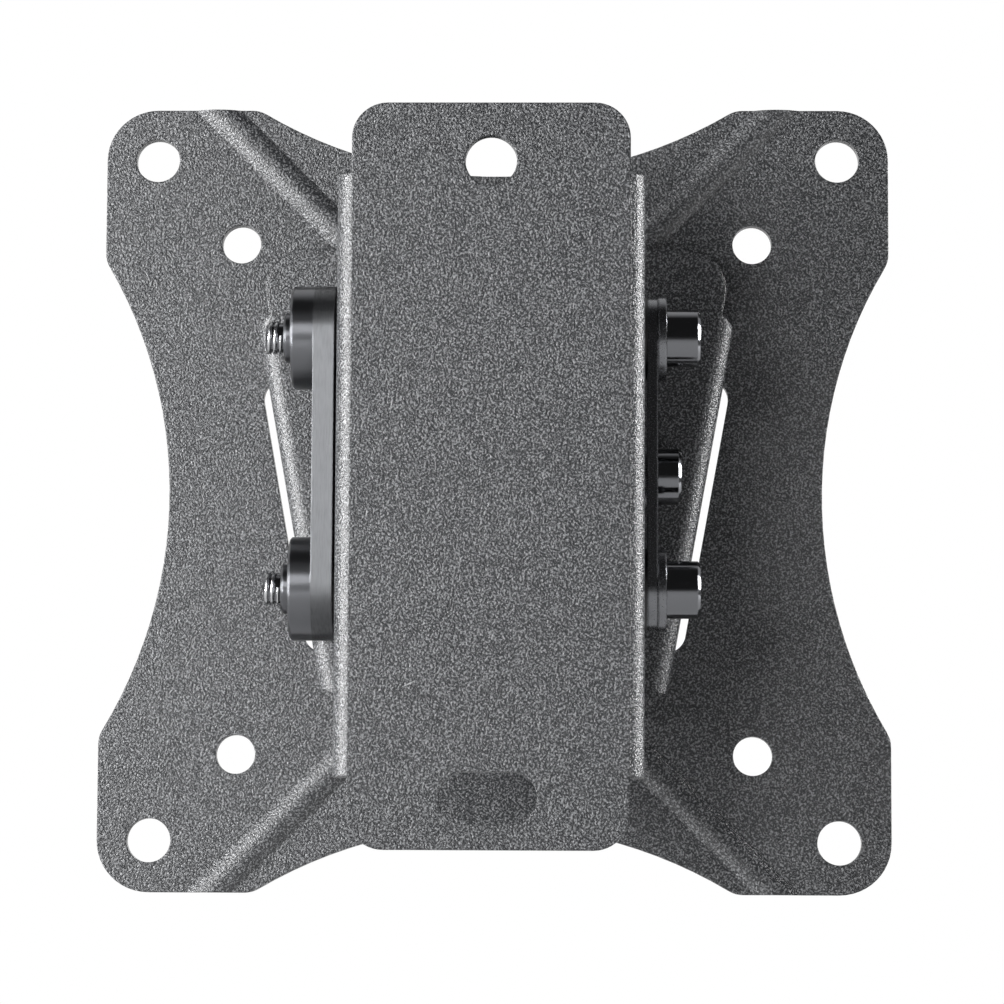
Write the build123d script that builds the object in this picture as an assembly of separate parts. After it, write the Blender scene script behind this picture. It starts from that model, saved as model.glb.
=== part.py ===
from build123d import *
import math
import os

# A tilting wall bracket for a flat screen: a folded wall plate carries a head with a square
# screen plate. The head turns about a pivot bolt, and two clamp bolts slide in arc slots.
# Millimetres. The origin is the centre of the wall plate's contact face. +Y points from the
# wall to the screen and +Z points up.

# Sheet and fits
SHEET = 2.0
BEND_R = 0.8
BOLT_D = 5.0
BOLT_CLEARANCE = 0.15
RUNNING_FIT = 0.05
THREAD_FIT = 0.05
SLOT_CLEARANCE = 0.3
NOSE_CLEARANCE = 0.5

# Tilt
TILT = 15.0
PIVOT_Y = 23.4
PIVOT_Z = 2.2
CLAMP_DROP = 11.4
CLAMP_PITCH = 35.7
CLAMP_RISE = 0.5
EAR_RIM = 5.0
SLOT_RIM = 2.0

# Wall plate
WALL_H = 104.0
TAB_W = 38.9
TAB_R = 5.0
CHANNEL_W = 43.0
CHANNEL_H = 84.0
TAIL_DEPTH = 8.0
TAIL_R = 2.0
WALL_HOLE_D = 7.2
WALL_HOLE_Z = 43.8
WALL_SLOT_L = 13.5
WALL_SLOT_Z = -44.9

# Screen plate
SCREEN_W = 115.0
SCREEN_R = 7.5
SCALLOP_W = 70.0
SCALLOP_R = 67.0
SCALLOP_BLEND = 4.0
OUTER_PITCH = 100.0
OUTER_HOLE_D = 6.4
INNER_PITCH = 75.0
INNER_HOLE_D = 5.7
BEAD_OFFSET = 16.4
BEAD_END_GAP = 1.5
BEAD_W = 4.6
BEAD_H = 0.9
GROOVE_W = 3.8
GROOVE_H = 0.8

# Head plate, a shallow pan welded to the screen plate
HEAD_OFFSET = 5.3
HEAD_DEPTH = 3.0
HEAD_HALF_W = 30.3
HEAD_SLOPE = 0.18
HEAD_BEND_R = 0.5
HEAD_FLANGE_TOP = 26.6
HEAD_FLANGE_BOTTOM = -28.6
HEAD_TAB_TOP = 16.5
HEAD_TAB_BOTTOM = -21.5
HEAD_TOP = 36.4
HEAD_TOP_INSET = 2.0
HEAD_TOP_R = 6.0
HEAD_BOTTOM = -33.0
OPENING_GAP = 1.1
OPENING_END_GAP = 1.1
OPENING_R = 3.0

# Washers, link and nut bar on the clamp bolts, from the flanges outwards
INNER_WASHER_T = 0.5
INNER_WASHER_R = 4.8
LEFT_WASHER_T = 0.5
LEFT_WASHER_R = 6.0
RIGHT_WASHER_T = 0.4
LINK_T = 1.5
LINK_W = 11.6
BOLT_WASHER_T = 1.2
BOLT_WASHER_R = 6.0
NUT_BAR_W = 14.6
NUT_BAR_T = 3.0
NUT_BOSS_H = 3.25
NUT_CHAMFER = 0.3
COLLAR_R = 3.55
COLLAR_H = 1.2

# Screws
HEAD_R = 4.05
HEAD_H = 4.8
HEAD_EDGE = 0.4
SOCKET_W = 4.0
SOCKET_DEPTH = 2.5
THREAD_CORE_R = 2.1
THREAD_TAIL = 2.6
TIP_CHAMFER = 0.4
PIVOT_WASHER_T = 0.65
PIVOT_WASHER_R = 5.0
PIVOT_TAIL = 0.5

# Rivets that hold the yoke to the head plate
RIVET_R = 2.0
RIVET_HEAD_R = 3.5
RIVET_HEAD_H = 1.3
RIVET_TAIL_R = 3.2
RIVET_SPREAD_X = 20.0
RIVET_SPREAD_Z = 22.0

# Worked out from the sizes above
BOLT_R = BOLT_D / 2
BOLT_HOLE_R = BOLT_R + BOLT_CLEARANCE
NOSE_R = HEAD_OFFSET - NOSE_CLEARANCE
HEAD_FRONT = PIVOT_Y + HEAD_OFFSET
HEAD_BACK = HEAD_FRONT + SHEET
SCREEN_BACK = HEAD_FRONT + HEAD_DEPTH
SCREEN_FRONT = SCREEN_BACK + SHEET
FLANGE_OUT = CHANNEL_W / 2
FLANGE_IN = FLANGE_OUT - SHEET
YOKE_W = 2 * (FLANGE_IN - INNER_WASHER_T)
SLOT_HALF_W = BOLT_R + SLOT_CLEARANCE
CLAMP_MID_Z = PIVOT_Z + CLAMP_RISE
LINK_IN = FLANGE_OUT + RIGHT_WASHER_T
LINK_OUT = LINK_IN + LINK_T
BOLT_SEAT = LINK_OUT + BOLT_WASHER_T
NUT_IN = FLANGE_OUT + LEFT_WASHER_T
NUT_FACE = NUT_IN + NUT_BAR_T
BOSS_FACE = NUT_FACE + NUT_BOSS_H
COLLAR_FACE = BOSS_FACE + COLLAR_H
BEAD_END_Z = HEAD_TOP + BEAD_END_GAP
REACH = 2 * SCREEN_W


def slab(outline, y_start, y_end):
    """Thicken an outline drawn in X and Z between two depths."""
    plane = Plane(origin=(0, y_start, 0), x_dir=(1, 0, 0), z_dir=(0, -1, 0))
    return extrude(plane * outline, amount=y_start - y_end)


def across(outline, x_start, x_end):
    """Thicken an outline drawn in Y and Z between two places along X."""
    plane = Plane(origin=(x_start, 0, 0), x_dir=(0, 1, 0), z_dir=(1, 0, 0))
    return extrude(plane * outline, amount=x_end - x_start)


def disc_x(radius, place, x_start, x_end):
    """Cylinder along X with its axis at a place in Y and Z."""
    return across(Pos(*place) * Circle(radius), x_start, x_end)


def clamp_arc(side):
    """Distance of the upper (1) or lower (-1) clamp bolt from the pivot, and its direction."""
    height = CLAMP_RISE + side * CLAMP_PITCH / 2
    return math.hypot(CLAMP_DROP, height), math.degrees(math.atan2(height, -CLAMP_DROP))


def clamp_place(side, swing=0.0):
    """Y and Z of a clamp bolt, swung towards the screen by an angle."""
    reach, direction = clamp_arc(side)
    angle = math.radians(direction - side * swing)
    return PIVOT_Y + reach * math.cos(angle), PIVOT_Z + reach * math.sin(angle)


def pivot_place():
    """Y and Z of the pivot bolt."""
    return PIVOT_Y, PIVOT_Z


def channel_section(width, depth):
    """U of folded sheet, web on the X axis and legs towards +Y."""
    outer = Pos(0, depth / 2) * Rectangle(width, depth)
    inner = Pos(0, SHEET + depth / 2) * Rectangle(width - 2 * SHEET, depth)
    outer = fillet(outer.vertices().group_by(Axis.Y)[0], BEND_R + SHEET)
    inner = fillet(inner.vertices().group_by(Axis.Y)[0], BEND_R)
    return outer - inner


def flange_profile():
    """Side view of a wall flange: nose at the pivot, rims at the slot ends, tapered tails."""
    foot = Pos(TAIL_DEPTH / 2, 0) * Rectangle(TAIL_DEPTH, CHANNEL_H)
    foot = fillet(foot.vertices().group_by(Axis.X)[-1], TAIL_R)
    edges = foot.edges() + (Pos(*pivot_place()) * Circle(NOSE_R)).edges()
    for side in (-1, 1):
        rim = Pos(*clamp_place(side, TILT)) * Circle(SLOT_HALF_W + SLOT_RIM)
        edges += rim.edges()
    return make_hull(edges)


def arc_slot(side):
    """Slot in which a clamp bolt slides round the pivot."""
    reach, direction = clamp_arc(side)
    path = CenterArc(pivot_place(), reach, direction - side * TILT, side * 2 * TILT)
    return SlotArc(path, 2 * SLOT_HALF_W)


def wall_plate():
    """Folded wall plate: flat tabs above and below, two flanges that carry the head."""
    section = channel_section(CHANNEL_W, PIVOT_Y + NOSE_R)
    plate = extrude(section, CHANNEL_H / 2, both=True)
    plate &= across(flange_profile(), -CHANNEL_W, CHANNEL_W)
    for side in (-1, 1):
        plate -= across(arc_slot(side), -CHANNEL_W, CHANNEL_W)
    plate -= disc_x(BOLT_HOLE_R, pivot_place(), 0, CHANNEL_W)
    plate -= disc_x(BOLT_R + THREAD_FIT, pivot_place(), -CHANNEL_W, 0)
    tabs = RectangleRounded(TAB_W, WALL_H, TAB_R)
    plate += slab(tabs, 0, SHEET)
    hole = Pos(0, WALL_HOLE_Z) * Circle(WALL_HOLE_D / 2)
    slot = Pos(0, WALL_SLOT_Z) * SlotOverall(WALL_SLOT_L, WALL_HOLE_D)
    plate -= slab(hole, 0, SHEET)
    plate -= slab(slot, 0, SHEET)
    return plate


def screen_outline():
    """Square with round corners and a shallow scallop in each side."""
    square = Rectangle(SCREEN_W, SCREEN_W)
    reach = SCREEN_W / 2 + math.sqrt(SCALLOP_R ** 2 - (SCALLOP_W / 2) ** 2)
    for place in PolarLocations(reach, 4):
        square -= place * Circle(SCALLOP_R)
    limit = SCREEN_W - SCREEN_R
    corners = square.vertices().filter_by(lambda v: abs(v.X) + abs(v.Y) > limit)
    square = fillet(corners, SCREEN_R)
    joints = square.vertices().filter_by(lambda v: min(abs(v.X), abs(v.Y)) < SCALLOP_W / 2 + SHEET)
    return fillet(joints, SCALLOP_BLEND)


def opening_outline():
    """Centre opening, wider at the top, that clears the tabs of the head plate."""
    top = HEAD_TAB_TOP + OPENING_END_GAP
    bottom = HEAD_TAB_BOTTOM - OPENING_END_GAP
    outline = pan_outline(top, bottom, OPENING_GAP)
    return fillet(outline.vertices(), OPENING_R)


def pan_outline(top, bottom, margin):
    """Symmetric outline between the slanted sides of the head plate, let out by a margin."""
    half_top = HEAD_HALF_W + HEAD_SLOPE * top + margin
    half_bottom = HEAD_HALF_W + HEAD_SLOPE * bottom + margin
    points = [(half_top, top), (-half_top, top), (-half_bottom, bottom), (half_bottom, bottom)]
    return make_face(Polyline(*points, close=True))


def ridge(width, height, base_y):
    """Round-backed bar that stands out of a face, for one bead or groove at the upper right."""
    radius = width ** 2 / (8 * height) + height / 2
    depth = base_y + radius - height
    start = Vector(BEAD_END_Z - BEAD_OFFSET, depth, BEAD_END_Z)
    run = Vector(1, 0, 1)
    bar = extrude(Plane(origin=start, z_dir=run) * Circle(radius), amount=SCREEN_W)
    return bar + Pos(*start) * Sphere(radius)


def screen_plate():
    """Square screen plate with its hole patterns, centre opening and four pressed beads."""
    outline = screen_outline()
    plate = slab(outline, SCREEN_BACK, SCREEN_FRONT)
    raised = slab(outline, SCREEN_BACK - BEAD_H, SCREEN_FRONT)
    bead = ridge(BEAD_W, BEAD_H, SCREEN_BACK) & raised
    groove = ridge(GROOVE_W, GROOVE_H, SCREEN_FRONT)
    for plane in (Plane.YZ, Plane.XY):
        bead += mirror(bead, about=plane)
        groove += mirror(groove, about=plane)
    plate = plate + bead - groove
    plate -= slab(opening_outline(), SCREEN_BACK, SCREEN_FRONT)
    for pitch, hole_d in ((OUTER_PITCH, OUTER_HOLE_D), (INNER_PITCH, INNER_HOLE_D)):
        for place in GridLocations(pitch, pitch, 2, 2):
            plate -= slab(place * Circle(hole_d / 2), SCREEN_BACK, SCREEN_FRONT)
    return plate


def slanted_pan():
    """Sheet folded back along both slanted sides, over the whole height of the head."""
    outer = slab(pan_outline(HEAD_TOP, HEAD_BOTTOM, 0), HEAD_FRONT, SCREEN_FRONT)
    wall = SHEET * math.hypot(1, HEAD_SLOPE)
    inner = slab(pan_outline(HEAD_TOP + SHEET, HEAD_BOTTOM - SHEET, -wall), HEAD_BACK, SCREEN_FRONT)
    outer = fillet(front_side_edges(outer), HEAD_BEND_R + SHEET)
    inner = fillet(front_side_edges(inner), HEAD_BEND_R)
    return outer - inner


def front_side_edges(solid):
    """The two slanted edges that face the wall."""
    front = solid.faces().sort_by(Axis.Y)[0]
    return front.edges().filter_by(lambda e: abs(e.tangent_at(0).Z) > abs(e.tangent_at(0).X))


def head_plate():
    """Head plate: flat face, slanted flanges on the screen plate and tabs in its opening."""
    tabs = Rectangle(REACH, HEAD_TAB_TOP - HEAD_TAB_BOTTOM)
    tabs = Pos(0, (HEAD_TAB_TOP + HEAD_TAB_BOTTOM) / 2) * tabs
    kept = slab(flange_outline(), HEAD_FRONT, SCREEN_BACK) + slab(tabs, HEAD_FRONT, SCREEN_FRONT)
    plate = slanted_pan() & kept
    plate += slab(top_lip(), HEAD_FRONT, HEAD_BACK)
    plate += slab(bottom_lip(), HEAD_FRONT, HEAD_BACK)
    for place in rivet_places():
        plate -= slab(place * Circle(RIVET_R), HEAD_FRONT, HEAD_BACK)
    return plate


def flange_outline():
    """Front view of what the flanges leave, cut off at 45 degrees beside the top lip."""
    half_top = HEAD_HALF_W + HEAD_SLOPE * HEAD_FLANGE_TOP - HEAD_TOP_INSET
    half = half_top + HEAD_FLANGE_TOP - HEAD_TAB_TOP
    points = [
        (half_top, HEAD_FLANGE_TOP),
        (-half_top, HEAD_FLANGE_TOP),
        (-half, HEAD_TAB_TOP),
        (-half, HEAD_FLANGE_BOTTOM),
        (half, HEAD_FLANGE_BOTTOM),
        (half, HEAD_TAB_TOP),
    ]
    return make_face(Polyline(*points, close=True))


def top_lip():
    """Flat top of the head above the flanges, with slanted sides and round corners."""
    lip = pan_outline(HEAD_TOP, HEAD_FLANGE_TOP, -HEAD_TOP_INSET)
    return fillet(lip.vertices().group_by(Axis.Y)[-1], HEAD_TOP_R)


def bottom_lip():
    """Flat bottom of the head below the flanges, cut off at 45 degrees at both sides."""
    half_top = HEAD_HALF_W + HEAD_SLOPE * HEAD_FLANGE_BOTTOM - HEAD_BEND_R
    drop = HEAD_FLANGE_BOTTOM - HEAD_BOTTOM
    points = [
        (half_top, HEAD_FLANGE_BOTTOM),
        (-half_top, HEAD_FLANGE_BOTTOM),
        (-half_top + drop, HEAD_BOTTOM),
        (half_top - drop, HEAD_BOTTOM),
    ]
    return make_face(Polyline(*points, close=True))


def rivet_places():
    """Where the rivets go through the yoke and the head plate, in X and Z."""
    centre = Pos(0, PIVOT_Z)
    return [centre * place for place in GridLocations(RIVET_SPREAD_X, RIVET_SPREAD_Z, 2, 2)]


def ear_profile():
    """Side view of a yoke ear, round at the clamp holes and straight at the web."""
    height = CLAMP_PITCH + 2 * EAR_RIM
    depth = HEAD_FRONT - clamp_place(1)[0]
    root = Pos(HEAD_FRONT - depth / 2, CLAMP_MID_Z) * Rectangle(depth, height)
    edges = root.edges()
    for side in (-1, 1):
        edges += (Pos(*clamp_place(side)) * Circle(EAR_RIM)).edges()
    return make_hull(edges)


def tilt_yoke():
    """Folded yoke on the head plate, with an ear inside each wall flange."""
    section = Pos(0, HEAD_FRONT) * Rot(0, 0, 180) * channel_section(YOKE_W, HEAD_FRONT - SHEET)
    yoke = extrude(section, CHANNEL_H, both=True)
    yoke &= across(ear_profile(), -CHANNEL_W, CHANNEL_W)
    yoke -= disc_x(BOLT_R + RUNNING_FIT, pivot_place(), -CHANNEL_W, CHANNEL_W)
    for side in (-1, 1):
        yoke -= disc_x(BOLT_HOLE_R, clamp_place(side), -CHANNEL_W, CHANNEL_W)
    for place in rivet_places():
        yoke -= slab(place * Circle(RIVET_R), HEAD_FRONT - SHEET, HEAD_FRONT)
    return yoke


def rivets():
    """Four rivets, domed inside the yoke and flat behind the head plate."""
    solids = []
    for place in rivet_places():
        shank = slab(place * Circle(RIVET_R), HEAD_FRONT - SHEET, HEAD_BACK)
        dome = slab(place * Circle(RIVET_HEAD_R), HEAD_FRONT - SHEET - RIVET_HEAD_H, HEAD_FRONT - SHEET)
        crown = dome.faces().sort_by(Axis.Y)[0].edges()
        dome = fillet(crown, RIVET_HEAD_H - HEAD_EDGE)
        tail = slab(place * Circle(RIVET_TAIL_R), HEAD_BACK, SCREEN_BACK)
        solids.append(shank + dome + tail)
    return solids


def ring_x(radius, bore, place, x_start, x_end):
    """Washer on the X axis of a bolt."""
    return disc_x(radius, place, x_start, x_end) - disc_x(bore, place, x_start, x_end)


def cap_screw(place, seat, tip, thread_start):
    """Socket head screw with its head at the right, reduced to the thread's core at its tip."""
    head = disc_x(HEAD_R, place, seat, seat + HEAD_H)
    rim = head.faces().sort_by(Axis.X)[-1].edges()
    head = chamfer(rim, HEAD_EDGE)
    hexagon = Pos(*place) * RegularPolygon(SOCKET_W / 2, 6, major_radius=False)
    head -= across(hexagon, seat + HEAD_H - SOCKET_DEPTH, seat + HEAD_H)
    screw = head + disc_x(BOLT_R, place, thread_start, seat)
    if tip < thread_start:
        core = disc_x(THREAD_CORE_R, place, tip, thread_start)
        screw += core
    end = screw.faces().sort_by(Axis.X)[0].edges()
    return chamfer(end, TIP_CHAMFER)


def link_outline(width):
    """Bar with full-round ends over both clamp bolts."""
    centre = Pos(clamp_place(1)[0], CLAMP_MID_Z) * Rot(0, 0, 90)
    return centre * SlotCenterToCenter(CLAMP_PITCH, width)


def washer_link():
    """Plain link plate under the heads of both clamp bolts."""
    link = across(link_outline(LINK_W), LINK_IN, LINK_OUT)
    for side in (-1, 1):
        link -= disc_x(BOLT_HOLE_R, clamp_place(side), LINK_IN, LINK_OUT)
    return link


def nut_link():
    """Bar with a tapped boss at each end, which keeps both clamp bolts from turning."""
    link = across(link_outline(NUT_BAR_W), -NUT_FACE, -NUT_IN)
    for side in (-1, 1):
        place = clamp_place(side)
        boss = disc_x(NUT_BAR_W / 2, place, -BOSS_FACE, -NUT_FACE)
        boss = chamfer(boss.faces().sort_by(Axis.X)[0].edges(), NUT_CHAMFER)
        collar = disc_x(COLLAR_R, place, -COLLAR_FACE, -BOSS_FACE)
        collar = chamfer(collar.faces().sort_by(Axis.X)[0].edges(), NUT_CHAMFER)
        link += boss + collar
    for side in (-1, 1):
        link -= disc_x(BOLT_R + THREAD_FIT, clamp_place(side), -COLLAR_FACE, -NUT_IN)
    return link


def clamp_stack(side, name):
    """Bolt, washers and friction washers of one clamp bolt, by node name."""
    place = clamp_place(side)
    tip = -(COLLAR_FACE + THREAD_TAIL)
    inner = []
    for start, end in ((FLANGE_IN - INNER_WASHER_T, FLANGE_IN), (-FLANGE_IN, INNER_WASHER_T - FLANGE_IN)):
        inner.append(ring_x(INNER_WASHER_R, BOLT_HOLE_R, place, start, end))
    return {
        name + "_clamp_bolt": cap_screw(place, BOLT_SEAT, tip, -COLLAR_FACE),
        name + "_bolt_washer": ring_x(BOLT_WASHER_R, BOLT_HOLE_R, place, LINK_OUT, BOLT_SEAT),
        name + "_right_friction_washer": ring_x(LINK_W / 2, BOLT_HOLE_R, place, FLANGE_OUT, LINK_IN),
        name + "_left_friction_washer": ring_x(LEFT_WASHER_R, BOLT_HOLE_R, place, -NUT_IN, -FLANGE_OUT),
        name + "_left_ear_washer": inner[1],
        name + "_right_ear_washer": inner[0],
    }


def pivot_stack():
    """Pivot bolt with its head washer and the two washers between ears and flanges."""
    place = pivot_place()
    seat = FLANGE_OUT + PIVOT_WASHER_T
    bore = BOLT_R + RUNNING_FIT
    ear = FLANGE_IN - INNER_WASHER_T
    tip = -(FLANGE_OUT + PIVOT_TAIL)
    return {
        "pivot_bolt": cap_screw(place, seat, tip, tip),
        "pivot_washer": ring_x(PIVOT_WASHER_R, bore, place, FLANGE_OUT, seat),
        "left_pivot_friction_washer": ring_x(PIVOT_WASHER_R, bore, place, -FLANGE_IN, -ear),
        "right_pivot_friction_washer": ring_x(PIVOT_WASHER_R, bore, place, ear, FLANGE_IN),
    }


def bracket():
    """Every piece of the bracket by node name."""
    pieces = {
        "wall_plate": wall_plate(),
        "screen_plate": screen_plate(),
        "head_plate": head_plate(),
        "tilt_yoke": tilt_yoke(),
        "yoke_rivets": rivets(),
        "washer_link": washer_link(),
        "nut_link": nut_link(),
    }
    pieces.update(pivot_stack())
    pieces.update(clamp_stack(1, "upper"))
    pieces.update(clamp_stack(-1, "lower"))
    return pieces


os.makedirs("parts", exist_ok=True)
for node, shape in bracket().items():
    solids = shape if isinstance(shape, list) else shape.solids()
    export_step(Compound(label=node, children=list(solids)), f"parts/{node}.step")
    print(node, len(solids), round(sum(s.volume for s in solids), 1))
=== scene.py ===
# %% [markdown]
# # Dressing a tilting wall bracket
# The bracket arrives as finished solids in metres: folded sheets, screws, washers and a nut bar.
# Blender gives them their finish and the fine thread, and never moves them. The first cell loads
# the solids.

# %% Load the solids
import math
import bpy
from mathutils import Matrix, Vector


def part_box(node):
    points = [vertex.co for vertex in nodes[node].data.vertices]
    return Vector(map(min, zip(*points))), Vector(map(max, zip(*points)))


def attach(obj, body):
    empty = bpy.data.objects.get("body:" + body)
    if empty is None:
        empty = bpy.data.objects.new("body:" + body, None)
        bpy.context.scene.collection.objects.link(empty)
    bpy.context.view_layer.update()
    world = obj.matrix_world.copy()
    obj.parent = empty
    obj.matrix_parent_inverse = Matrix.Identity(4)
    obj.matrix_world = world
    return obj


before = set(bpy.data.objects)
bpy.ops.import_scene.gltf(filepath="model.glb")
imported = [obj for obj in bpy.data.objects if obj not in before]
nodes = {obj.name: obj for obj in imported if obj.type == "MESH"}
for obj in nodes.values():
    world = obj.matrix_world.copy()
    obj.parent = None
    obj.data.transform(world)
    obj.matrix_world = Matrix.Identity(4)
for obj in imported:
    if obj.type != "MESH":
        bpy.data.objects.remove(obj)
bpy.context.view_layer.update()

MM = 0.001
print("loaded", len(nodes), "solids")

# %% [markdown]
# ## Small helpers for materials
# A colour is easiest to note as the hex value that a paint program shows. Those values are sRGB,
# and shaders work in linear light, so one function turns one into the other. A second function
# adds a node, sets it and links it in one go. Object coordinates are in metres, so a third one
# works out a texture's scale from the size of its features in millimetres, which keeps a grain
# the same on every piece, whatever the shape of its mesh. A Mix node has sockets of one name for
# each kind of data, so its sockets go by number: 0 is the factor, 2 and 3 are two numbers, and 6
# and 7 are two colours.

# %% Colour and node helpers


def linear(hex_colour):
    """Linear RGBA of an sRGB hex colour."""
    channels = [int(hex_colour[i:i + 2], 16) / 255 for i in (1, 3, 5)]
    return [c / 12.92 if c <= 0.04045 else ((c + 0.055) / 1.055) ** 2.4 for c in channels] + [1.0]


def add(tree, kind, sockets=None, **settings):
    """Adds one node. A socket's value is a constant or the output that feeds it."""
    node = tree.nodes.new(kind)
    for name, value in settings.items():
        setattr(node, name, value)
    for name, value in (sockets or {}).items():
        if isinstance(value, bpy.types.NodeSocket):
            tree.links.new(value, node.inputs[name])
        else:
            node.inputs[name].default_value = value
    return node


def new_material(name):
    """Empty material with its node tree."""
    material = bpy.data.materials.new(name)
    material.use_nodes = True
    material.node_tree.nodes.clear()
    return material, material.node_tree


def noise_scale(size_mm):
    """Scale of a noise whose features have a given size, on coordinates in metres."""
    return 1 / (size_mm * MM)


# %% [markdown]
# ## Powder coat
# The sheets are steel under a baked polyester powder coat with a fine sand texture. The powder is
# sprayed on dry and melts in an oven, where it draws together in small grains. The grains are what
# the eye reads: each one catches a lamp on one side and shades the other, so a bump makes them. On
# top of that the colour is painted darker in the hollows between them and lighter on their crests,
# a painted shade and a painted light that deepen what a grazing lamp does to them. Noise is laid
# out on a lattice, so the texture is turned to keep every sheet off its planes. The grain is drawn
# a little coarser than in life, so that a render can show it. Thick paint rounds every cut edge,
# which a Bevel node does for the shading alone. The pan behind the screen plate is pressed, and a
# press leaves rounder edges, which draw a bright line along it.

# %% Powder coat material
# The hollow colour holds painted shade and the crest colour holds painted light, both set on the
# grains.
COAT_HOLLOW_PAINTED_SHADE = "#232426"
COAT_CREST_PAINTED_LIGHT = "#727375"
COAT_TURN = (0.6, 0.4, 0.9)
COAT_DETAIL = 2.0
COAT_PAINTED_LIGHT_START = 0.47
COAT_PAINTED_LIGHT_END = 0.7
COAT_GRAIN_MM = 0.28
COAT_HEIGHT_MM = 0.15
CUT_EDGE_MM = 0.35
PRESSED_EDGE_MM = 0.9
COAT_ROUGHNESS = 0.2
COAT_IOR = 1.5
BEVEL_SAMPLES = 4


def powder_coat(name, edge_mm=CUT_EDGE_MM, scratch=None):
    """Dark powder coat with sandy grains, which a scratch function may draw over."""
    material, tree = new_material(name)
    place = add(tree, "ShaderNodeTexCoord").outputs["Object"]
    turned = add(tree, "ShaderNodeMapping", {"Vector": place, "Rotation": COAT_TURN}).outputs[0]
    grain = add(tree, "ShaderNodeTexNoise",
                {"Vector": turned, "Scale": noise_scale(COAT_GRAIN_MM),
                 "Detail": COAT_DETAIL}).outputs["Fac"]
    crest_painted_light_mask = add(tree, "ShaderNodeMapRange",
                {"Value": grain, "From Min": COAT_PAINTED_LIGHT_START,
                 "From Max": COAT_PAINTED_LIGHT_END}).outputs[0]
    # The grain noise mixes painted shade into the hollows and painted light onto the crests.
    colour = add(tree, "ShaderNodeMix", {0: crest_painted_light_mask, 6: linear(COAT_HOLLOW_PAINTED_SHADE), 7: linear(COAT_CREST_PAINTED_LIGHT)},
                 data_type="RGBA").outputs[2]
    if scratch:
        colour = scratch(tree, place, colour)
    rounded = add(tree, "ShaderNodeBevel", {"Radius": edge_mm * MM}, samples=BEVEL_SAMPLES)
    bump = add(tree, "ShaderNodeBump",
               {"Height": grain, "Distance": COAT_HEIGHT_MM * MM, "Normal": rounded.outputs[0]})
    shader = add(tree, "ShaderNodeBsdfPrincipled",
                 {"Base Color": colour, "Roughness": COAT_ROUGHNESS, "IOR": COAT_IOR,
                  "Normal": bump.outputs[0]})
    add(tree, "ShaderNodeOutputMaterial", {"Surface": shader.outputs[0]})
    return material


coat = powder_coat("powder_coated_steel_fine_sand")
pressed_coat = powder_coat("powder_coated_steel_pressed_pan", PRESSED_EDGE_MM)
print("made", coat.name, "and", pressed_coat.name)

# %% [markdown]
# ## The scratch on the wall plate
# Something hard has once slid over the wall plate, low on its left, and left a pale line about
# 2 mm long. A spherical gradient is 1 at the centre of its space and falls to 0 at a distance of
# 1. A Mapping node moves, turns and stretches that space, so the ball becomes a thin streak.

# %% Scratched powder coat
SCRATCH_TONE = "#8E8F90"
SCRATCH_PLACE = Vector((-11.0, 0.0, -29.3)) * MM
SCRATCH_HALF_MM = (1.1, 2.0, 0.13)
SCRATCH_TURN = math.radians(-25)
SCRATCH_CORE = 0.5
SCRATCH_STRENGTH = 0.8


def short_scratch(tree, place, colour):
    """A colour with a short slanted line drawn over it."""
    space = add(tree, "ShaderNodeMapping",
                {"Vector": place, "Location": SCRATCH_PLACE, "Rotation": (0.0, SCRATCH_TURN, 0.0),
                 "Scale": [half * MM for half in SCRATCH_HALF_MM]}, vector_type="TEXTURE")
    streak = add(tree, "ShaderNodeTexGradient", {"Vector": space.outputs[0]},
                 gradient_type="SPHERICAL")
    mask = add(tree, "ShaderNodeMapRange",
               {"Value": streak.outputs["Fac"], "From Max": SCRATCH_CORE,
                "To Max": SCRATCH_STRENGTH}).outputs[0]
    return add(tree, "ShaderNodeMix", {0: mask, 6: colour, 7: linear(SCRATCH_TONE)},
               data_type="RGBA").outputs[2]


scratched_coat = powder_coat("powder_coated_steel_scratched", scratch=short_scratch)
print("made", scratched_coat.name)

# %% [markdown]
# ## Metals of the fasteners
# The nut bar is milled steel with a thin black nickel plating, and looks a dull grey. Its two
# bosses are turned, so they are smoother, and their finish starts at the bar's face. The screws
# are cold-headed with a glossy black zinc plating that mirrors the lamps in a dark tone. The ridge
# of their rolled threads is a lighter copy of that metal, a painted highlight that stands in for
# the key lamp on the crests. The washers are stamped from plated strip, and the shear has rounded
# their rims, which catch a bright line. The rivets are zinc plated and pale.
# Each is a metal, so its colour is the tint of its reflection. Tool marks are noise stretched
# along the direction in which the tool went: a scale of 0.1 on an axis draws them ten times as
# long there. They are drawn at 0.2 mm, coarser than in life, because finer ones would only
# flicker. The marks too fine to draw smear a reflection across themselves, which is what the
# Anisotropic input does along the Tangent. On the nut bar that is the X axis, along the bolts.

# %% Metal materials
TOOL_MARK_MM = 0.2
TOOL_MARK_DETAIL = 3.0
MARK_LOW = 0.3
MARK_HIGH = 0.7
ROUGHNESS_SPREAD = 0.25
METAL_EDGE_MM = 0.18
FINISH_EDGE = 0.05 * MM
SMEAR = {"X": 1.0, "Y": 0.02, "Z": 0.01}


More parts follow.
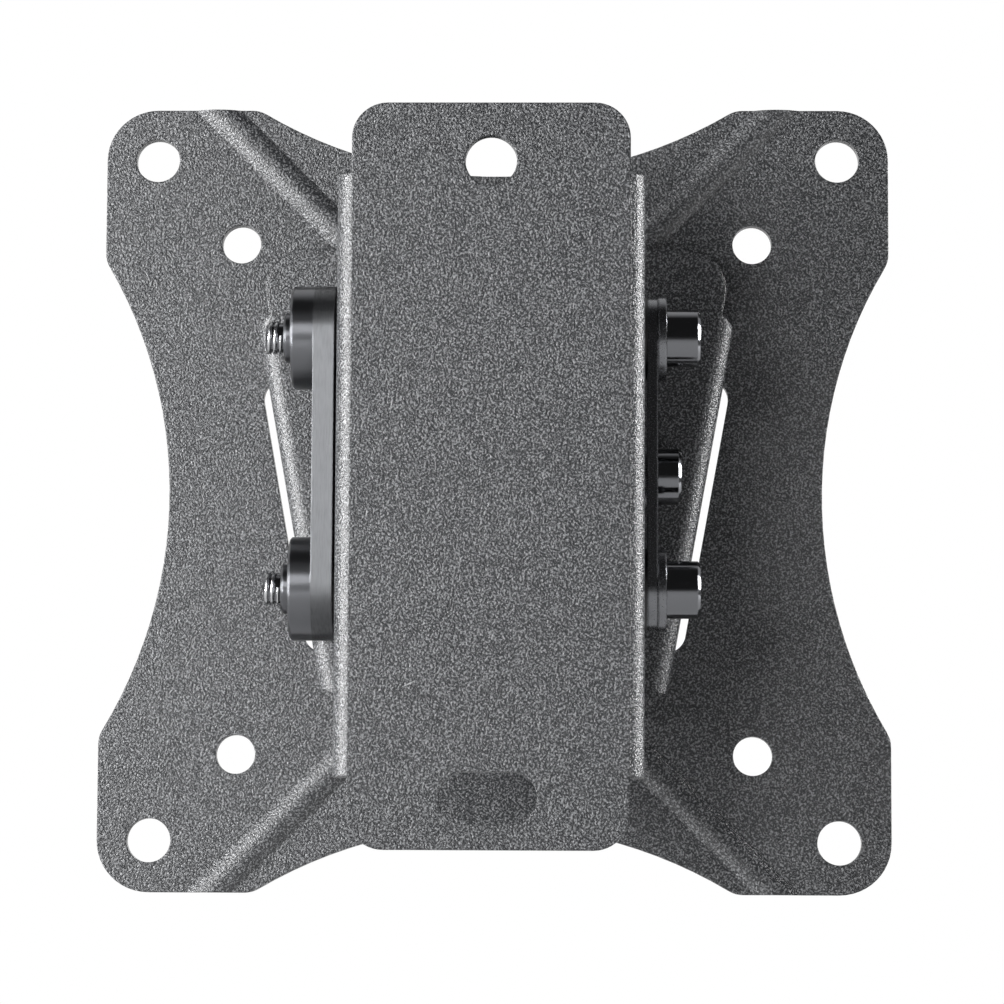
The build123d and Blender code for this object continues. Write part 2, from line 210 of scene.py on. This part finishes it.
def cut_metal(name, tone, roughness, stretch, mark_height_mm, edge_mm=METAL_EDGE_MM,
              brushed=0.0, turned=None):
    """Thinly plated metal with tool marks along an axis.

    turned gives the X of a plane, and the tone and roughness of the finish left of it.
    """
    material, tree = new_material(name)
    place = add(tree, "ShaderNodeTexCoord").outputs["Object"]
    along = add(tree, "ShaderNodeMapping", {"Vector": place, "Scale": stretch}).outputs[0]
    marks = add(tree, "ShaderNodeTexNoise",
                {"Vector": along, "Scale": noise_scale(TOOL_MARK_MM),
                 "Detail": TOOL_MARK_DETAIL}).outputs["Fac"]
    rough = add(tree, "ShaderNodeMapRange",
                {"Value": marks, "From Min": MARK_LOW, "From Max": MARK_HIGH,
                 "To Min": roughness * (1 - ROUGHNESS_SPREAD),
                 "To Max": roughness * (1 + ROUGHNESS_SPREAD)}).outputs[0]
    colour = linear(tone)
    if turned:
        face_x, turned_tone, turned_roughness = turned
        across = add(tree, "ShaderNodeSeparateXYZ", {"Vector": place}).outputs["X"]
        left = add(tree, "ShaderNodeMapRange",
                   {"Value": across, "From Min": face_x - FINISH_EDGE,
                    "From Max": face_x + FINISH_EDGE, "To Min": 1.0, "To Max": 0.0}).outputs[0]
        colour = add(tree, "ShaderNodeMix", {0: left, 6: linear(tone), 7: linear(turned_tone)},
                     data_type="RGBA").outputs[2]
        rough = add(tree, "ShaderNodeMix", {0: left, 2: rough, 3: turned_roughness}).outputs[0]
    rounded = add(tree, "ShaderNodeBevel", {"Radius": edge_mm * MM}, samples=BEVEL_SAMPLES)
    bump = add(tree, "ShaderNodeBump",
               {"Height": marks, "Distance": mark_height_mm * MM, "Normal": rounded.outputs[0]})
    shader = add(tree, "ShaderNodeBsdfPrincipled",
                 {"Base Color": colour, "Metallic": 1.0, "Roughness": rough,
                  "Anisotropic": brushed,
                  "Tangent": add(tree, "ShaderNodeCombineXYZ", SMEAR).outputs[0],
                  "Normal": bump.outputs[0]})
    add(tree, "ShaderNodeOutputMaterial", {"Surface": shader.outputs[0]})
    return material


BAR_THICK = 3.0 * MM
boss_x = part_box("nut_link")[1][0] - BAR_THICK
BOSS_TONE = "#5C5D60"
BOSS_ROUGHNESS = 0.3
UPRIGHT_CUTS = (1.0, 0.3, 0.1)
DRAWN_ALONG_X = (0.1, 1.0, 1.0)
ALL_WAYS = (1.0, 1.0, 1.0)
metals = {
    "black_nickel": cut_metal(
        "black_nickel_plated_steel_milled", tone="#5A5B5D", roughness=0.5, stretch=UPRIGHT_CUTS,
        mark_height_mm=0.004, edge_mm=0.25, brushed=0.9,
        turned=(boss_x, BOSS_TONE, BOSS_ROUGHNESS)),
    "black_zinc": cut_metal(
        "black_zinc_plated_steel_cold_headed", tone="#646568", roughness=0.12,
        stretch=DRAWN_ALONG_X, mark_height_mm=0.002),
    # The thread ridge is a lighter copy of the screw metal, a painted highlight on the crests.
    "thread_painted_highlight": cut_metal(
        "rolled_thread_painted_highlight", tone="#A6A7A9", roughness=0.2, stretch=ALL_WAYS,
        mark_height_mm=0.003),
    "stamped": cut_metal(
        "dark_plated_strip_stamped", tone="#68696C", roughness=0.24, stretch=ALL_WAYS,
        mark_height_mm=0.003, edge_mm=0.4),
    "rivet_zinc": cut_metal(
        "zinc_plated_steel_rivet", tone="#8E9094", roughness=0.30, stretch=ALL_WAYS,
        mark_height_mm=0.003),
}
print("made", len(metals), "metals")

# %% [markdown]
# ## Nylon washers
# The friction washers are punched from black nylon sheet. It is a dull plastic with a faint
# grain from the rollers, and only their rims show, as thin dark lines beside the steel.

# %% Nylon material
NYLON_BLACK = "#1B1B1C"
NYLON_GRAIN_MM = 0.3
NYLON_DETAIL = 2.0
NYLON_HEIGHT_MM = 0.01
NYLON_ROUGHNESS = 0.5
NYLON_IOR = 1.53


def punched_nylon():
    """Black nylon sheet."""
    material, tree = new_material("black_nylon_punched_sheet")
    place = add(tree, "ShaderNodeTexCoord").outputs["Object"]
    grain = add(tree, "ShaderNodeTexNoise",
                {"Vector": place, "Scale": noise_scale(NYLON_GRAIN_MM),
                 "Detail": NYLON_DETAIL}).outputs["Fac"]
    bump = add(tree, "ShaderNodeBump", {"Height": grain, "Distance": NYLON_HEIGHT_MM * MM})
    shader = add(tree, "ShaderNodeBsdfPrincipled",
                 {"Base Color": linear(NYLON_BLACK), "Roughness": NYLON_ROUGHNESS,
                  "IOR": NYLON_IOR, "Normal": bump.outputs[0]})
    add(tree, "ShaderNodeOutputMaterial", {"Surface": shader.outputs[0]})
    return material


nylon = punched_nylon()
print("made", nylon.name)

# %% [markdown]
# ## Giving each solid its finish
# A solid keeps its mesh and place. Only the material in its slots changes. The table names each
# steel piece, and what it leaves out is a nylon washer.

# %% Assign the materials
FINISHES = {
    "wall_plate": scratched_coat,
    "screen_plate": coat,
    "head_plate": pressed_coat,
    "tilt_yoke": coat,
    "yoke_rivets": metals["rivet_zinc"],
    "nut_link": metals["black_nickel"],
    "washer_link": metals["stamped"],
    "pivot_washer": metals["stamped"],
    "upper_bolt_washer": metals["stamped"],
    "lower_bolt_washer": metals["stamped"],
    "pivot_bolt": metals["black_zinc"],
    "upper_clamp_bolt": metals["black_zinc"],
    "lower_clamp_bolt": metals["black_zinc"],
}
for name, solid in nodes.items():
    finish = FINISHES.get(name, nylon)
    for slot in solid.material_slots:
        slot.material = finish
print("dressed", len(nodes), "solids")

# %% [markdown]
# ## Threads on the bolt ends
# Each clamp bolt shows a few turns of M5 thread past the nut bar. The solid stops at the thread's
# core there, and the ridge is a triangle swept along a helix. It repeats on both bolts, so a
# Geometry Nodes tree makes one helix and sets it on the end of each bolt. The points at which the
# helices start are the carrier's mesh, and the sizes are the named inputs of the tree.

# %% Thread tree
THREAD_PITCH = 0.8 * MM
THREAD_CREST_R = 2.5 * MM
RIDGE_R = 0.36 * MM
RIDGE_CORNERS = 3
THREAD_STEPS = 40
UPRIGHT_TO_X = (0.0, math.pi / 2, 0.0)


def thread_tree(labels, material):
    """Helix ridge, set on every point of the object that carries the modifier."""
    tree = bpy.data.node_groups.new("thread_ridge", "GeometryNodeTree")
    tree.interface.new_socket("Geometry", in_out="INPUT", socket_type="NodeSocketGeometry")
    for label in labels:
        tree.interface.new_socket(label, in_out="INPUT", socket_type="NodeSocketFloat")
    tree.interface.new_socket("Geometry", in_out="OUTPUT", socket_type="NodeSocketGeometry")
    given = add(tree, "NodeGroupInput").outputs
    helix = add(tree, "GeometryNodeCurveSpiral",
                {"Resolution": THREAD_STEPS, "Rotations": given["Turns"],
                 "Start Radius": given["Radius"], "End Radius": given["Radius"],
                 "Height": given["Length"]})
    profile = add(tree, "GeometryNodeCurvePrimitiveCircle",
                  {"Resolution": RIDGE_CORNERS, "Radius": given["Ridge"]})
    sweep = add(tree, "GeometryNodeCurveToMesh",
                {"Curve": helix.outputs[0], "Profile Curve": profile.outputs[0],
                 "Fill Caps": True})
    on_points = add(tree, "GeometryNodeInstanceOnPoints",
                    {"Points": given["Geometry"], "Instance": sweep.outputs[0],
                     "Rotation": UPRIGHT_TO_X})
    real = add(tree, "GeometryNodeRealizeInstances", {"Geometry": on_points.outputs[0]})
    painted = add(tree, "GeometryNodeSetMaterial",
                  {"Geometry": real.outputs[0], "Material": material})
    add(tree, "NodeGroupOutput", {"Geometry": painted.outputs[0]})
    return tree


# %% [markdown]
# A modifier stores its inputs under identifiers that Blender picks, so the next cell looks them
# up by name before it sets them. Reading the evaluated object gives a plain mesh, after which the
# carrier and its modifier are no longer needed.

# %% Thread pieces


def box_middle(name):
    """Middle of a solid's box."""
    low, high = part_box(name)
    return (Vector(low) + Vector(high)) / 2


def grown(name, points, tree, values):
    """Plain mesh object that a Geometry Nodes tree makes from a few points."""
    mesh = bpy.data.meshes.new(name + "_points")
    mesh.from_pydata(points, [], [])
    carrier = bpy.data.objects.new(name + "_points", mesh)
    bpy.context.collection.objects.link(carrier)
    modifier = carrier.modifiers.new(name, "NODES")
    modifier.node_group = tree
    for socket in tree.interface.items_tree:
        if socket.in_out == "INPUT" and socket.name in values:
            modifier[socket.identifier] = values[socket.name]
    graph = bpy.context.evaluated_depsgraph_get()
    result = bpy.data.meshes.new_from_object(carrier.evaluated_get(graph))
    bpy.data.objects.remove(carrier)
    piece = bpy.data.objects.new(name, result)
    bpy.context.collection.objects.link(piece)
    return piece


THREAD_MARGIN = 0.4 * MM
tip_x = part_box("upper_clamp_bolt")[0][0]
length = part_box("nut_link")[0][0] - tip_x - 2 * THREAD_MARGIN
starts = []
for bolt in ("upper_clamp_bolt", "lower_clamp_bolt"):
    middle = box_middle(bolt)
    starts.append((tip_x + THREAD_MARGIN, middle.y, middle.z))
sizes = {
    "Turns": length / THREAD_PITCH,
    "Radius": THREAD_CREST_R - RIDGE_R,
    "Length": length,
    "Ridge": RIDGE_R,
}
# The ridge takes that lighter metal, which paints the highlight of the key lamp on its crests.
ridge_tree = thread_tree(sizes, metals["thread_painted_highlight"])
threads = grown("clamp_bolt_threads", starts, ridge_tree, sizes)
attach(threads, "head")
print("thread ridge:", len(threads.data.polygons), "faces")

# %% [markdown]
# ## White room
# The photograph is a studio shot in front of white paper. The camera sees that paper as plain
# white. Everything else sees a room that is white behind the object and nearly dark on the
# camera's side, so that folds and rims pick up bright lines from the paper while flat faces stay
# dark. Mirror images show the paper at its full strength, and what it adds to dull faces is less,
# because there the lamps draw the shapes. The direction of a ray has a Y of -1 towards the camera
# and 1 towards the paper, and the paper fades in between two values of it.

# %% World
WHITE = linear("#FFFFFF")
ROOM_LIGHT = 0.35
ROOM_FRONT = 0.05
PAPER_START = -0.1
PAPER_END = 0.3


def white_room():
    """World that is white to the camera, and white behind the object for light and reflections."""
    world = bpy.data.worlds.new("white_studio")
    bpy.context.scene.world = world
    world.use_nodes = True
    tree = world.node_tree
    tree.nodes.clear()
    direction = add(tree, "ShaderNodeTexCoord").outputs["Generated"]
    depth = add(tree, "ShaderNodeSeparateXYZ", {"Vector": direction}).outputs["Y"]
    path = add(tree, "ShaderNodeLightPath")
    strength = add(tree, "ShaderNodeMapRange",
                   {"Value": path.outputs["Is Glossy Ray"], "To Min": ROOM_LIGHT,
                    "To Max": 1.0}).outputs[0]
    behind = add(tree, "ShaderNodeMapRange",
                 {"Value": depth, "From Min": PAPER_START, "From Max": PAPER_END,
                  "To Min": ROOM_FRONT, "To Max": 1.0}).outputs[0]
    level = add(tree, "ShaderNodeMath", {0: behind, 1: strength}, operation="MULTIPLY").outputs[0]
    paper = add(tree, "ShaderNodeBackground", {"Color": WHITE, "Strength": 1.0})
    room = add(tree, "ShaderNodeBackground", {"Color": WHITE, "Strength": level})
    mix = add(tree, "ShaderNodeMixShader",
              {0: path.outputs["Is Camera Ray"], 1: room.outputs[0], 2: paper.outputs[0]})
    add(tree, "ShaderNodeOutputWorld", {"Surface": mix.outputs[0]})


white_room()
print("made the room")

# %% [markdown]
# ## Floor
# A pale floor under the object takes its shadow. Its own glow for the camera grows with the
# distance from the object, so that it runs into the white without an edge.

# %% Floor
FLOOR_TONE = "#D8D8D8"
FLOOR_Z = -0.12
FLOOR_REACH = 3.0
GLOW_NEAR = 0.75
GLOW_START = 0.3
GLOW_END = 1.5


def pale_floor():
    """Large floor, close to white for the camera and white far away."""
    mesh = bpy.data.meshes.new("floor")
    corners = [(x * FLOOR_REACH, y * FLOOR_REACH, FLOOR_Z)
               for x, y in ((-1, -1), (1, -1), (1, 1), (-1, 1))]
    mesh.from_pydata(corners, [], [(0, 1, 2, 3)])
    floor = bpy.data.objects.new("floor", mesh)
    bpy.context.collection.objects.link(floor)
    material, tree = new_material("pale_studio_floor")
    place = add(tree, "ShaderNodeTexCoord").outputs["Object"]
    distance = add(tree, "ShaderNodeVectorMath", {0: place}, operation="LENGTH").outputs["Value"]
    whiter = add(tree, "ShaderNodeMapRange",
                 {"Value": distance, "From Min": GLOW_START, "From Max": GLOW_END,
                  "To Min": GLOW_NEAR, "To Max": 1.0}).outputs[0]
    glow = add(tree, "ShaderNodeEmission", {"Color": WHITE, "Strength": whiter})
    matt = add(tree, "ShaderNodeBsdfDiffuse", {"Color": linear(FLOOR_TONE)})
    both = add(tree, "ShaderNodeAddShader", {0: matt.outputs[0], 1: glow.outputs[0]})
    path = add(tree, "ShaderNodeLightPath")
    mix = add(tree, "ShaderNodeMixShader",
              {0: path.outputs["Is Camera Ray"], 1: matt.outputs[0], 2: both.outputs[0]})
    add(tree, "ShaderNodeOutputMaterial", {"Surface": mix.outputs[0]})
    mesh.materials.append(material)


pale_floor()
print("laid the floor")

# %% [markdown]
# ## Lamps
# The lamps are softboxes. The strongest stands at the left, level with the object, so that its
# light grazes the sheets, draws out the grain and leaves the right side in the shade of the wall
# plate. Three weaker ones around it soften its shadows. The lamp at the right draws the folds
# there. It stands a little behind the object and above it, where the flat sides of the bolts and
# washers don't mirror it. The last one is a faint strip for the right flank. The table gives each
# lamp's place and size in metres, and its power in watts.

# %% Lights
LAMP_AIM = (0.0, 0.015, 0.0)
LAMPS = {
    "key_left": ((-0.58, -0.21, 0.0), (0.12, 0.4), 7.6),
    "key_top_left": ((-0.50, -0.21, 0.29), (0.22, 0.22), 1.1),
    "fill_left": ((-0.49, -0.38, 0.0), (0.12, 0.4), 3.3),
    "fill_top_left": ((-0.32, -0.51, 0.15), (0.22, 0.22), 2.3),
    "rim_right": ((0.60, 0.07, 0.16), (0.12, 0.3), 6.4),
    "strip_right": ((0.51, -0.36, 0.0), (0.1, 0.4), 0.5),
}


def softbox(name, place, size, power):
    """Rectangular lamp that faces the middle of the object."""
    data = bpy.data.lights.new(name, "AREA")
    data.shape = "RECTANGLE"
    data.size, data.size_y = size
    data.energy = power
    lamp = bpy.data.objects.new(name, data)
    lamp.location = place
    lamp.rotation_euler = (Vector(LAMP_AIM) - Vector(place)).to_track_quat("-Z", "Y").to_euler()
    bpy.context.collection.objects.link(lamp)


for name, (place, size, power) in LAMPS.items():
    softbox(name, place, size, power)
print("set", len(LAMPS), "lamps")

# %% [markdown]
# ## Camera
# The hole patterns of the screen plate are squares of known size, and a camera fitted to them
# stands 55 cm away, a little to the right and below. It leans by a third of a degree.

# %% Camera
CAMERA_PLACE = Vector((14.6, -551.5, -65.6)) * MM
CAMERA_TARGET = Vector((1.01, 31.7, -0.57)) * MM
CAMERA_ROLL = math.radians(0.3)
CAMERA_LENS_MM = 144.2
CAMERA_SENSOR_MM = 36.0
CAMERA_CLIP_START = 0.01

camera_data = bpy.data.cameras.new("camera")
camera_data.lens = CAMERA_LENS_MM
camera_data.sensor_width = CAMERA_SENSOR_MM
camera_data.clip_start = CAMERA_CLIP_START
camera = bpy.data.objects.new("camera", camera_data)
look = (CAMERA_TARGET - CAMERA_PLACE).to_track_quat("-Z", "Y").to_matrix().to_4x4()
lean = Matrix.Rotation(CAMERA_ROLL, 4, "Z")
camera.matrix_world = Matrix.Translation(CAMERA_PLACE) @ look @ lean
bpy.context.collection.objects.link(camera)
bpy.context.scene.camera = camera
bpy.context.scene.view_settings.view_transform = "Standard"
print("placed the camera")
